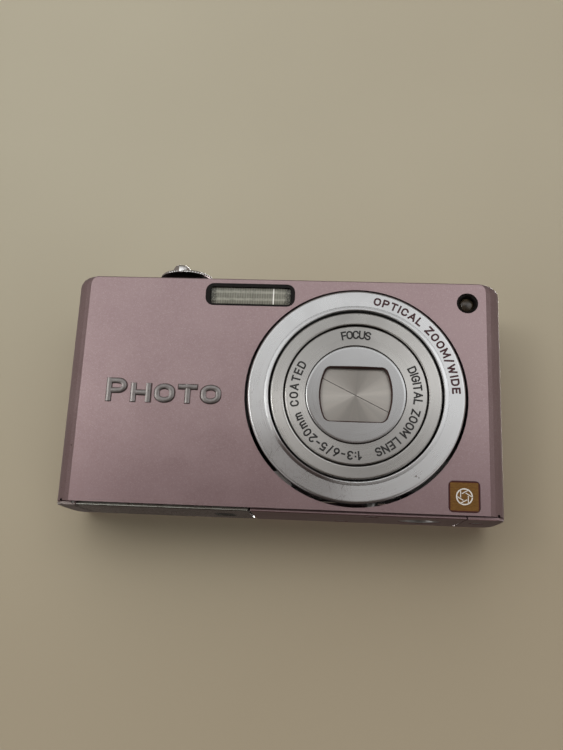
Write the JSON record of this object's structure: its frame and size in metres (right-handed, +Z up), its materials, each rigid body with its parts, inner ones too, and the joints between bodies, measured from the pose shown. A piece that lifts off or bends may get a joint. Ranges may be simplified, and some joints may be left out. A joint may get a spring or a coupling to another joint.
{
  "type": "compact digital camera",
  "caption": "Slim pocket digital camera with a two-stage retracting zoom lens, lens barrier, zoom lever, mode dial, rear display and keys, and hinged battery door.",
  "frame": {"origin": "centre of the flat base, camera standing upright", "axes": "+X to the right seen from the front (camera's width), -Y the way the lens looks, +Z up"},
  "size_m": [0.0968, 0.0241, 0.056],
  "materials": {
    "pink_paint": "satin metallic paint",
    "satin_silver": "satin",
    "brushed_silver": "circular brushed",
    "blade_metal": "sunburst brushed",
    "chrome": "polished",
    "door_silver": "satin",
    "black_plastic": "matt",
    "clear_glass": "clear",
    "lens_glass": "coated",
    "lamp_lens": "smoked gloss",
    "display_glass": "gloss",
    "gold_plate": "satin",
    "sheet_steel": "plain sheet",
    "circuit_board": "solder mask",
    "battery_label": "printed wrap",
    "card_blue": "moulded"
  },
  "bodies": {
    "root": {"front_cover": "pink_paint", "rear_cover": "pink_paint", "top_cover": "pink_paint", "bottom_plate": "pink_paint", "side_frame_left": "pink_paint", "side_frame_right": "pink_paint", "lens_ring": "satin_silver", "lens_base": "black_plastic", "zoom_motor": "sheet_steel", "image_sensor": "circuit_board", "chassis": "sheet_steel", "main_board": "circuit_board", "battery_box": "black_plastic", "battery": "battery_label", "memory_card": "card_blue", "flash_bezel": "black_plastic", "flash_window": "clear_glass", "flash_reflector": "chrome", "flash_tube": "clear_glass", "flash_capacitor": "black_plastic", "af_lamp_lens": "lamp_lens", "badge_plate": "gold_plate", "nameplate": "chrome", "lcd_window": "display_glass", "lcd_panel": "black_plastic", "av_socket": "sheet_steel", "dc_socket": "black_plastic", "strap_eyelet": "chrome", "tripod_socket": "sheet_steel", "door_hinge_pin": "sheet_steel", "plate_screw_front": "chrome", "plate_screw_rear": "chrome", "foot_screw": "chrome", "side_screw_left": "chrome", "side_screw_right": "chrome"},
    "barrel_outer": {"barrel_outer": "brushed_silver"},
    "barrel_inner": {"barrel_inner": "brushed_silver", "barrel_cap": "satin_silver", "lens_cell": "black_plastic", "front_lens": "lens_glass", "rear_lens": "lens_glass", "shutter_unit": "black_plastic"},
    "barrier_upper": {"barrier_blade_upper": "blade_metal"},
    "barrier_lower": {"barrier_blade_lower": "blade_metal"},
    "cam_ring": {"cam_ring": "sheet_steel"},
    "focus": {"focus_carrier": "black_plastic"},
    "shutter_button": {"shutter_button": "chrome"},
    "zoom_lever": {"zoom_lever": "chrome"},
    "power_switch": {"power_switch": "satin_silver"},
    "mode_dial": {"mode_dial": "satin_silver"},
    "menu_set_button": {"menu_set_button": "satin_silver"},
    "key_up": {"key_up": "satin_silver"},
    "key_down": {"key_down": "satin_silver"},
    "key_left": {"key_left": "satin_silver"},
    "key_right": {"key_right": "satin_silver"},
    "display_button": {"display_button": "satin_silver"},
    "delete_button": {"delete_button": "satin_silver"},
    "battery_door": {"battery_door": "door_silver"},
    "door_latch": {"door_latch": "black_plastic"},
    "jack_cover": {"jack_cover": "pink_paint"}
  },
  "joints": [
    {"name": "lens_extend", "type": "slide", "parent": "root", "child": "barrel_outer", "axis": [0, -1, 0], "range_m": [0, 0.0105]},
    {"name": "lens_extend_inner", "type": "slide", "parent": "barrel_outer", "child": "barrel_inner", "axis": [0, -1, 0], "range_m": [0, 0.0085]},
    {"name": "cam_turn", "type": "hinge", "parent": "root", "child": "cam_ring", "pos_m": [0.0161, 0, 0.0256], "axis": [0, -1, 0], "range_deg": [0, 62]},
    {"name": "barrier_upper_open", "type": "hinge", "parent": "barrel_inner", "child": "barrier_upper", "pos_m": [0.02729, -0.0107, 0.02002], "axis": [0, 1, 0], "range_deg": [0, 30.5]},
    {"name": "barrier_lower_open", "type": "hinge", "parent": "barrel_inner", "child": "barrier_lower", "pos_m": [0.00491, -0.0107, 0.03118], "axis": [0, 1, 0], "range_deg": [0, 30.5]},
    {"name": "focus_travel", "type": "slide", "parent": "root", "child": "focus", "axis": [0, -1, 0], "range_m": [0, 0.0012]},
    {"name": "shutter_press", "type": "slide", "parent": "root", "child": "shutter_button", "axis": [0, 0, -1], "range_m": [0, 0.001], "stiffness_N_per_m": 250, "springref_m": -0.0006},
    {"name": "zoom_turn", "type": "hinge", "parent": "root", "child": "zoom_lever", "pos_m": [-0.0243, -0.00245, 0.0545], "axis": [0, 0, 1], "range_deg": [-15, 15], "stiffness_Nm_per_rad": 0.02},
    {"name": "power_slide", "type": "slide", "parent": "root", "child": "power_switch", "axis": [1, 0, 0], "range_m": [0, 0.0025]},
    {"name": "mode_turn", "type": "hinge", "parent": "root", "child": "mode_dial", "pos_m": [-0.0374, 0.0047, 0.051], "axis": [0, 0, 1], "continuous": true},
    {"name": "menu_set_press", "type": "slide", "parent": "root", "child": "menu_set_button", "axis": [0, -1, 0], "range_m": [0, 0.0005], "stiffness_N_per_m": 300, "springref_m": -0.0003},
    {"name": "key_up_press", "type": "slide", "parent": "root", "child": "key_up", "axis": [0, -1, 0], "range_m": [0, 0.0005], "stiffness_N_per_m": 300, "springref_m": -0.0003},
    {"name": "key_down_press", "type": "slide", "parent": "root", "child": "key_down", "axis": [0, -1, 0], "range_m": [0, 0.0005], "stiffness_N_per_m": 300, "springref_m": -0.0003},
    {"name": "key_left_press", "type": "slide", "parent": "root", "child": "key_left", "axis": [0, -1, 0], "range_m": [0, 0.0005], "stiffness_N_per_m": 300, "springref_m": -0.0003},
    {"name": "key_right_press", "type": "slide", "parent": "root", "child": "key_right", "axis": [0, -1, 0], "range_m": [0, 0.0005], "stiffness_N_per_m": 300, "springref_m": -0.0003},
    {"name": "display_press", "type": "slide", "parent": "root", "child": "display_button", "axis": [0, -1, 0], "range_m": [0, 0.0005], "stiffness_N_per_m": 300, "springref_m": -0.0003},
    {"name": "delete_press", "type": "slide", "parent": "root", "child": "delete_button", "axis": [0, -1, 0], "range_m": [0, 0.0005], "stiffness_N_per_m": 300, "springref_m": -0.0003},
    {"name": "door_open", "type": "hinge", "parent": "root", "child": "battery_door", "pos_m": [-0.0437, 0, 0.0006], "axis": [0, 1, 0], "range_deg": [0, 95]},
    {"name": "latch_slide", "type": "slide", "parent": "battery_door", "child": "door_latch", "axis": [0, 1, 0], "range_m": [0, 0.002]},
    {"name": "jack_open", "type": "hinge", "parent": "root", "child": "jack_cover", "pos_m": [0.0477, 0.0005, 0.01265], "axis": [0, 1, 0], "range_deg": [0, 100]}
  ],
  "couplings": [
    {"joint": "lens_extend_inner", "follows": "lens_extend", "ratio": 0.8},
    {"joint": "cam_turn", "follows": "lens_extend", "rad_per_m": 100},
    {"joint": "barrier_upper_open", "follows": "lens_extend", "rad_per_m": 50},
    {"joint": "barrier_lower_open", "follows": "lens_extend", "rad_per_m": 50}
  ]
}
